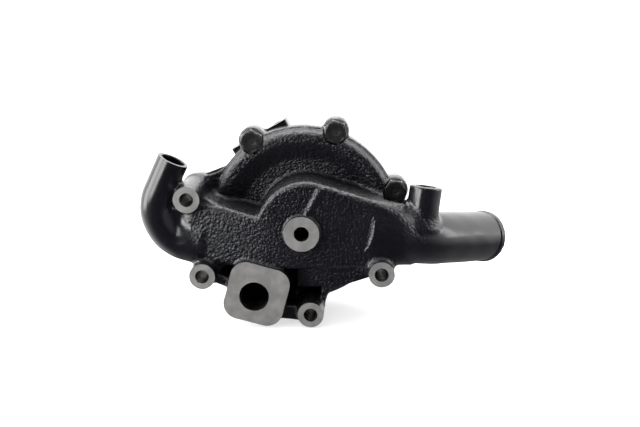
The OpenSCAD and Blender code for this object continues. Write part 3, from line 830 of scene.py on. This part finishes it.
centre = read(body.data.polygons, "center", 3) / MM
normal = read(body.data.polygons, "normal", 3)
flat_cut = (centre[:, 1] < NEAR) & (normal[:, 1] < -SQUARE_ON)
flat_cut |= (centre[:, 1] > joint_y - NEAR) & (normal[:, 1] > SQUARE_ON)
flat_cut |= seat_faces(centre, normal, body_bolts, bolt_seat, -1)
bored = (hole_faces(centre, normal, all_bosses, hole_r)
         | hole_faces(centre, normal, body_bolts, hole_r)
         | hole_faces(centre, normal, cover_side_bolts, bolt_r)
         | hole_faces(centre, normal, [port], port_r)
         | (hole_faces(centre, normal, [(0, 0)], centre_r) & (centre[:, 1] < centre_deep)))
finish_faces(body, [black_enamel, milled, drilled], [flat_cut, bored])


# ---------------------------------------------------------------- front cover
# The cover is a second iron casting: it closes the volute behind the impeller and carries the two
# bearings in a ribbed barrel. A pad for a bracket stands on its rim, and a weep hole underneath
# lets out any water that gets past the seal. It is painted with the body.

cover_back = gasket_y + 12
barrel_end = node_box("front_cover")[1][1]
cover_ear_y = cover_back + 8
cover_bosses = (boss_ul, boss_rt, boss_bt)
barrel_r, barrel_y = 33.0, 119.0
collar_y = 135.0
pad_left, pad_right = mount_point("pad_hole_left"), mount_point("pad_hole_right")
pad_normal = mount_axis("pad_hole_left")
pad_middle = (pad_left + pad_right) / 2 + 0.5 * pad_normal
pad_side = (pad_right - pad_left) / np.linalg.norm(pad_right - pad_left)
pad_r = size_of("pad_hole_left")
pad_half = 26.5
rib_angles = (0, 60, 180, 240, 300)
race_r = 26.0
inner_bearing_y = node_box("inner_bearing_outer_race")[0][1]
circlip_y = node_box("bearing_circlip")[0][1]
seal_y = node_box("seal_cup")


def cover_field(p):
    """The cover: its flange, impeller housing, bearing barrel, ribs and pad, less what is bored."""
    x, y, z = p[..., 0], p[..., 1], p[..., 2]
    r = np.hypot(x, z)
    draft = 0.05 * (y - gasket_y)
    solid = slab(p, joint_outline(p) + draft, gasket_y - BEYOND, cover_back, 1.8)
    for at in body_bolts:
        ear = slab(p, away(p, at) - 10.5 + draft, gasket_y - BEYOND, cover_ear_y, 1.8)
        solid = blend_in(solid, ear, 2.5)
    housing = keep_both(r - 66, y - 84 + np.maximum(r - 44, 0) * 0.16, 7)
    solid = blend_in(solid, np.maximum(housing, gasket_y - BEYOND - y), 4)
    barrel = keep_both(r - barrel_r, y - barrel_y, 2)
    solid = blend_in(solid, np.maximum(barrel, 60 - y), 9)
    for angle in rib_angles:
        out = ring_point(1, angle)
        along = x * out[0] + z * out[1]
        side = np.abs(x * out[1] - z * out[0]) - 3 - 0.02 * (112 - y)
        lean = (along - 33) * 0.764 + (y - 112) * 0.645
        rib = np.maximum(keep_both(side, lean, 2), np.maximum(78 - y, 20 - along))
        solid = blend_in(solid, rib, 4)
    rel = p - pad_middle.astype(np.float32)
    out = rel @ pad_normal.astype(np.float32)
    pad = np.maximum(np.abs(rel @ pad_side.astype(np.float32)) - pad_half, -out - 40)
    pad = keep_both(pad, np.abs(y - pad_middle[1]) - 9.5, 2.2)
    solid = blend_in(solid, np.maximum(pad, out), 4) + swell(p, 8, 0.08)
    solid = np.minimum(solid, np.maximum(r - 30.5, np.maximum(y - collar_y, 100 - y)))
    collar = keep_both(r - 31.5, y - barrel_end, 0.8)
    solid = np.minimum(solid, np.maximum(collar, collar_y - y))
    chamber = np.maximum(r - 59, y - 75.2 + np.maximum(r - 56.5, 0) * 2)
    cores = np.minimum(chamber, np.maximum(r - 24, y - seal_y[0][1]))
    for radius, y0, y1 in ((19, 70, seal_y[1][1]), (13, 80, 98), (22, 96, inner_bearing_y),
                           (race_r, inner_bearing_y, barrel_end + BEYOND),
                           (race_r + 1.6, circlip_y, circlip_y + 2.2)):
        cores = np.minimum(cores, np.maximum(r - radius, np.maximum(y0 - y, y - y1)))
    solid = cut_from(solid, cores, 0.3)
    front, back = gasket_y - BEYOND, cover_back + BEYOND
    solid = drill(solid, p, cover_bosses, front, back, hole_r, hole_edge)
    solid = drill(solid, p, cover_side_bolts, cover_back, cover_back + 30, ear_r)
    solid = drill(solid, p, cover_side_bolts, front, back, hole_r)
    solid = drill(solid, p, body_bolts, front, cover_back, bolt_r)
    for at in (pad_left, pad_right):
        hole = cylinder(p, at - pad_normal * 16, pad_normal, pad_r, 16 + BEYOND)
        solid = cut_from(solid, hole, hole_edge)
    weep = cylinder(p, (0, 98.5, -40), (0, 0, 1), 3, 28)
    return np.maximum(cut_from(solid, weep, hole_edge), gasket_y - y)


cover = field_piece("cover_casting", cover_field, node_box("front_cover"), cell, "housing",
                    ["front_cover"])
store(cover.data, "grain", np.full(len(cover.data.vertices), 0.15))

centre = read(cover.data.polygons, "center", 3) / MM
normal = read(cover.data.polygons, "normal", 3)
r = np.hypot(centre[:, 0], centre[:, 2])
flat_cut = (centre[:, 1] < gasket_y + NEAR) & (normal[:, 1] < -SQUARE_ON)
flat_cut |= (centre[:, 1] > barrel_y + 0.5) & (normal[:, 1] > 0.9)
flat_cut |= (((centre - pad_middle) @ pad_normal > -0.3) & (normal @ pad_normal > 0.95)
             & (centre[:, 1] > cover_ear_y))
flat_cut |= seat_faces(centre, normal, cover_side_bolts, cover_back, 1)
bored = (hole_faces(centre, normal, cover_bosses, hole_r)
         | hole_faces(centre, normal, cover_side_bolts, hole_r)
         | hole_faces(centre, normal, body_bolts, bolt_r)
         | ((r < 30) & (centre[:, 1] < barrel_y)))
# The flange's edge and its ears get the milled finish, lighter than the enamel round them
flat_cut |= ((r > 66) & (np.abs(normal[:, 1]) < 0.6) & (centre[:, 1] < cover_ear_y - 0.5)
             & (np.abs((centre - pad_middle) @ pad_side) > pad_half + 1))
finish_faces(cover, [black_enamel, milled, drilled], [flat_cut, bored])


# ---------------------------------------------------------------- cover bolts
# Five M10 hexagon bolts in black-finished steel hold the cover: three go in from the engine's side
# and two from the pulley's. Each forged head has a washer face, a 30 degree chamfer and a shallow
# round dish in its top.

head_across = 17.0
head_high = 6.4
head_round = 8.05


def bolt_skin(turn, shank):
    """Points of one bolt in its own frame, head upwards: a hexagon whose radius is the half width
    over the cosine of the angle from the nearest flat's middle, drawn in to circles for the dish
    above and the shank below, with its top chamfered as a cone cuts it."""
    angle = np.linspace(0, 2 * np.pi, 96, endpoint=False)
    off = (angle + np.pi / 6) % (np.pi / 3) - np.pi / 6
    hexagon = head_across / 2 / np.cos(off)
    rows = [(0.0, head_high - 0.45), (2.6, head_high - 0.45), (2.9, head_high - 0.15),
            (3.6, head_high - 0.15), (4.0, head_high), (7.0, head_high), (8.0, head_high)]
    for share in (0.0, 0.5, 1.0):
        now = head_round + (hexagon - head_round) * share
        drop = np.maximum(now - head_round, 0) * np.tan(np.radians(30)) + 0.05
        rows.append((now, head_high - drop))
    rows += [(hexagon, 1.4), (hexagon, 0.7), (hexagon - 0.15, 0.55), (8.1, 0.45), (8.1, 0.0),
             (bolt_r, 0.0), (bolt_r, -shank * 0.45)]
    thread_steps = int((shank * 0.55 - 1.5) / 1.5) * 4
    rows += [(bolt_r - (0, 0.35, 0.7, 0.35)[i % 4], -shank * 0.45 - 0.2 - i * 0.375)
             for i in range(thread_steps)]
    rows += [(bolt_r - 1.0, -shank + 0.1), (bolt_r - 1.4, -shank), (0.0, -shank)]
    radius = np.array([v + 0 * angle for v, _ in rows])
    height = np.array([h + 0 * angle for _, h in rows])
    a = angle + turn
    return radius * np.cos(a), height, radius * np.sin(a)


def grid_faces(rows, columns, first):
    """Four-sided faces over a grid that closes on itself along its rows' direction."""
    i, j = np.meshgrid(np.arange(rows - 1), np.arange(columns), indexing="ij")
    k = (j + 1) % columns
    face = np.stack([i * columns + j, i * columns + k, (i + 1) * columns + k,
                     (i + 1) * columns + j], -1)
    return face.reshape(-1, 4) + first


verts, faces = [], []
for number, at in enumerate(body_bolts + cover_side_bolts):
    behind = number >= len(body_bolts)
    seat = cover_back if behind else bolt_seat
    shank = (cover_back - joint_y + 9) if behind else (cover_back - bolt_seat - 0.5)
    u, h, v = bolt_skin(0.4 + 1.9 * number, shank)
    up = 1.0 if behind else -1.0
    block = np.stack([at[0] + u, seat + up * h, at[1] + v], -1)
    ring = grid_faces(block.shape[0], block.shape[1], sum(len(b) for b in verts))
    faces.append(ring if behind else ring[:, ::-1])
    verts.append(block.reshape(-1, 3))
bolts = new_piece("cover_bolt_set", np.concatenate(verts), np.concatenate(faces).tolist(),
                  "housing", ["cover_bolts"])
bolts.modifiers.new("close_poles", "WELD").merge_threshold = 1e-7
settle(bolts)
mark_edges(bolts.data)
bolts.data.shade_smooth()
bolts.data.set_sharp_from_angle(angle=np.radians(28))


def black_steel():
    """Black-finished forging: faint scale, and light steel along the hexagon's corners that is
    partly bare worn steel and partly a painted highlight.
    """
    made, tree, shader, where = material("black_steel")
    scale = noise(tree, where, 700.0, 4.0)
    wear_and_glint, dust = wear_glint_and_dust(tree, where, 0.27)
    tone = mixed(tree, scale, (0.006, 0.006, 0.007), (0.016, 0.016, 0.016))
    tone = mixed(tree, times(tree, dust, 0.15), tone, (0.3, 0.29, 0.27))
    # Painted highlight: this light tone along the hexagon's corners stands in for the bright edge
    # highlights, as well as for wear
    tone = mixed(tree, times(tree, wear_and_glint, 0.7), tone, (0.30, 0.29, 0.28))
    wire_up(tree, shader, tone, raised(tree, scale, 0.00012),
            spread(tree, scale, 0.3, 0.7, 0.28, 0.44), 0.3)
    return made


black_finish = black_steel()
bolts.data.materials.append(black_finish)


# ---------------------------------------------------------------- pulley hub
# The hub is turned from steel bar and pressed on the shaft. Its flange is drilled and tapped for
# four M8 screws and a short spigot centres the pulley. Every edge has a small turned chamfer.

hub_low, hub_high = node_box("pulley_hub")
hub_face = mount_point("hub_face")[1]
hub_r = 45.0
pilot_r = size_of("hub_pilot")
hub_holes = [ring_point(size_of("hub_bolts", "pcd_mm") / 2, 45 + 90 * i) for i in range(4)]
hub_hole_r = size_of("hub_bolts", "hole_r_mm")
shaft_r = 10.0


def chamfered(a, b, size):
    """What two solids share, with the edge between them cut off at 45 degrees."""
    return np.maximum(np.maximum(a, b), (a + b + size) * np.sqrt(0.5))


def hub_field(p):
    """The hub: barrel, flange and spigot about the shaft, less its bore and tapped holes."""
    y = p[..., 1]
    r = np.hypot(p[..., 0], p[..., 2])
    barrel = chamfered(r - 20, hub_low[1] - y, 1)
    flange = chamfered(chamfered(r - hub_r, 156 - y, 1), y - hub_face, 1)
    solid = blend_in(np.maximum(barrel, y - hub_face + 1), flange, 3)
    spigot = chamfered(r - pilot_r, y - hub_high[1], 0.6)
    solid = np.minimum(solid, np.maximum(spigot, 150 - y))
    relief = np.maximum(np.abs(r - pilot_r - 0.5) - 0.5, np.abs(y - hub_face) - 0.5)
    solid = cut_from(solid, relief)
    solid = chamfered(solid, shaft_r - r, 0.6)
    for at in hub_holes:
        solid = chamfered(solid, hub_hole_r - away(p, at), 0.7)
    return solid


def turned_steel(name, tone_low, tone_high, pitch, rough):
    """Steel from a lathe: fine rings about the shaft's axis, broken by long faint noise, darker in
    the hollows and bright on the edges."""
    made, tree, shader, where = material(name)
    split = put(tree, "SeparateXYZ", {0: where})
    squares = [times(tree, split.outputs[i], split.outputs[i]) for i in (0, 2)]
    out = sums(tree, "SQRT", sums(tree, "ADD", *squares))
    lift = sums(tree, "ADD", out, times(tree, split.outputs[1], 0.7))
    rings = put(tree, "TexNoise", {"W": times(tree, lift, pitch)},
                {"Scale": 1.0, "Detail": 4.0, "Roughness": 0.7}, noise_dimensions="1D")
    film = noise(tree, where, 70.0, 5.0)
    # Darker in the hollows: a near-black tone mixed in where the stored edge value is low
    hollow_darkening = spread(tree, stored(tree, "edge"), 0.48, 0.25)
    tone = mixed(tree, rings.outputs["Fac"], tone_low, tone_high)
    tone = mixed(tree, times(tree, spread(tree, film, 0.4, 0.7), 0.25), tone, (0.20, 0.18, 0.15))
    tone = mixed(tree, times(tree, hollow_darkening, 0.8), tone, (0.05, 0.045, 0.04))
    wire_up(tree, shader, tone, raised(tree, rings.outputs["Fac"], 0.00006),
            spread(tree, film, 0.3, 0.7, rough, rough + 0.14), 1.0)
    return made


hub_cell = 0.8
hub = field_piece("hub_turned", hub_field, (hub_low, hub_high), hub_cell, "rotor",
                  ["pulley_hub"])
hub_steel = turned_steel("turned_steel", (0.24, 0.235, 0.23), (0.40, 0.39, 0.38), 5200, 0.28)
hub.data.materials.append(hub_steel)


# ---------------------------------------------------------------- shaft, seal and bearings
# Ground steel shaft, slinger, spacer, the mechanical seal's ceramic, carbon, rubber, spring and
# brass pieces, and two 20 x 52 x 15 ball bearings behind a snap ring. They keep their CAD shapes,
# and each gets the finish of its own stuff.


def plain_stuff(name, low, high, size, rough, metal, depth, wave=0.0):
    """A finish for small hidden pieces: two tones in clouds and specks, fine relief, and gloss
    that varies with the clouds."""
    made, tree, shader, where = material(name)
    cloud = noise(tree, where, size, 5.0, Distortion=wave)
    speck = noise(tree, where, size * 9, 3.0)
    share = sums(tree, "ADD", times(tree, cloud, 0.6), times(tree, speck, 0.4))
    wire_up(tree, shader, mixed(tree, spread(tree, share, 0.35, 0.65), low, high),
            raised(tree, speck, depth), spread(tree, cloud, 0.3, 0.7, rough, rough + 0.15), metal)
    return made


ground_steel = turned_steel("ground_steel", (0.60, 0.60, 0.60), (0.72, 0.72, 0.71), 9000, 0.16)
stuff = {"ground_steel": ground_steel, "black_steel": black_finish, "turned_steel": hub_steel,
         "casting": black_enamel}
for slot, *look in (
        ("gasket", "gasket_fibre", (0.012, 0.012, 0.012), (0.05, 0.05, 0.048), 300, 0.7, 0, 1e-4),
        ("impeller_iron", "impeller_iron", (0.10, 0.09, 0.085), (0.20, 0.18, 0.17), 160, 0.5, 0.7,
         3e-4),
        ("rubber", "moulded_rubber", (0.010, 0.010, 0.010), (0.025, 0.024, 0.023), 400, 0.6, 0,
         6e-5),
        ("ceramic", "seal_ceramic", (0.78, 0.76, 0.70), (0.88, 0.87, 0.83), 220, 0.18, 0, 1e-5),
        ("carbon", "seal_carbon", (0.018, 0.018, 0.019), (0.045, 0.045, 0.047), 800, 0.42, 0,
         3e-5),
        ("spring_steel", "spring_steel", (0.42, 0.41, 0.40), (0.58, 0.57, 0.56), 500, 0.24, 1,
         3e-5),
        ("brass", "pressed_brass", (0.56, 0.40, 0.14), (0.74, 0.56, 0.24), 180, 0.24, 1, 3e-5, 0.6),
        ("plated_steel", "plated_steel", (0.46, 0.44, 0.36), (0.62, 0.60, 0.52), 240, 0.28, 1,
         4e-5),
        ("ball_steel", "ball_steel", (0.66, 0.66, 0.66), (0.74, 0.74, 0.74), 120, 0.06, 1, 5e-6)):
    stuff[slot] = plain_stuff(*look)
slot_of = {part["node"]: part["material_slot"] for part in frame["record"]["subparts"]}
for name, node in frame["nodes"].items():
    for i in range(len(node.data.materials)):
        node.data.materials[i] = stuff[slot_of[name]]


# ---------------------------------------------------------------- floor, light and camera
# A pale floor in a room that is bright behind the pump and dark in front of it and underfoot. Soft
# boxes hang overhead, at both sides and in front. Shiny surfaces mirror the room but not the floor,
# and the camera itself sees the room as white.

floor_z = cad_box[0][2] - 0.0004
half = 8.0
mesh = bpy.data.meshes.new("floor")
mesh.from_pydata([(-half, -half, floor_z), (half, -half, floor_z), (half, half, floor_z),
                  (-half, half, floor_z)], [], [(0, 1, 2, 3)])
floor = bpy.data.objects.new("floor", mesh)
bpy.context.scene.collection.objects.link(floor)
pale, tree, shader, where = material("pale_floor")
cloud = noise(tree, where, 3.0, 3.0)
tree.links.new(mixed(tree, cloud, (0.55, 0.55, 0.55), (0.58, 0.58, 0.58)),
               shader.inputs["Base Color"])
shader.inputs["Roughness"].default_value = 0.95
shader.inputs["Specular IOR Level"].default_value = 0.0
shader.inputs["Emission Color"].default_value = (1, 1, 1, 1)
shader.inputs["Emission Strength"].default_value = 0.62
mesh.materials.append(pale)
floor.visible_glossy = False

world = bpy.data.worlds.new("studio")
bpy.context.scene.world = world
world.use_nodes = True
tree = world.node_tree
facing = put(tree, "SeparateXYZ", {0: put(tree, "TexCoord").outputs["Generated"]})
sky = spread(tree, facing.outputs[1], -0.9, 0.5, 0.03, 2.3)
under = spread(tree, facing.outputs[2], -0.45, 0.1, 0.12, 1.0)
left_side = spread(tree, facing.outputs[0], -0.25, -0.85, 0.0, 1.3)
sky = times(tree, sky, sums(tree, "MAXIMUM", under, left_side))
sky = sums(tree, "MAXIMUM", sky, put(tree, "LightPath").outputs["Is Camera Ray"])
tree.links.new(sky, tree.nodes["Background"].inputs["Strength"])
tree.nodes["Background"].inputs["Color"].default_value = (1.0, 1.0, 1.0, 1)


def soft_box(name, at, width, height, power):
    """A rectangular studio light that faces the pump."""
    data = bpy.data.lights.new(name, "AREA")
    data.shape = "RECTANGLE"
    data.size, data.size_y = width, height
    data.energy = power
    lamp = bpy.data.objects.new(name, data)
    lamp.location = at
    lamp.rotation_euler = (-Vector(at)).to_track_quat("-Z", "Y").to_euler()
    bpy.context.scene.collection.objects.link(lamp)


for light in (("top_light", (-0.1, 0.35, 1.25), 1.8, 1.0, 26),
              ("left_light", (-1.2, -0.30, 0.30), 0.7, 1.1, 20),
              ("right_light", (1.2, 0.1, 0.5), 0.4, 1.0, 6),
              ("front_fill", (-0.25, -1.0, 1.0), 0.5, 0.25, 3),
              ("front_left", (-0.88, -0.85, 0.19), 0.5, 0.45, 8)):
    soft_box(*light)

camera_data = bpy.data.cameras.new("camera")
camera_data.lens = 47.8
camera_data.sensor_width = 36
camera_data.clip_start = 0.01
camera = bpy.data.objects.new("camera", camera_data)
camera.location = (0.0370, -0.6469, 0.1759)
tilt_down, turn_left = 13.782, 1.963
camera.rotation_euler = (np.radians(90 - tilt_down), 0, np.radians(turn_left))
bpy.context.scene.collection.objects.link(camera)
bpy.context.scene.camera = camera
bpy.context.scene.view_settings.view_transform = "Standard"
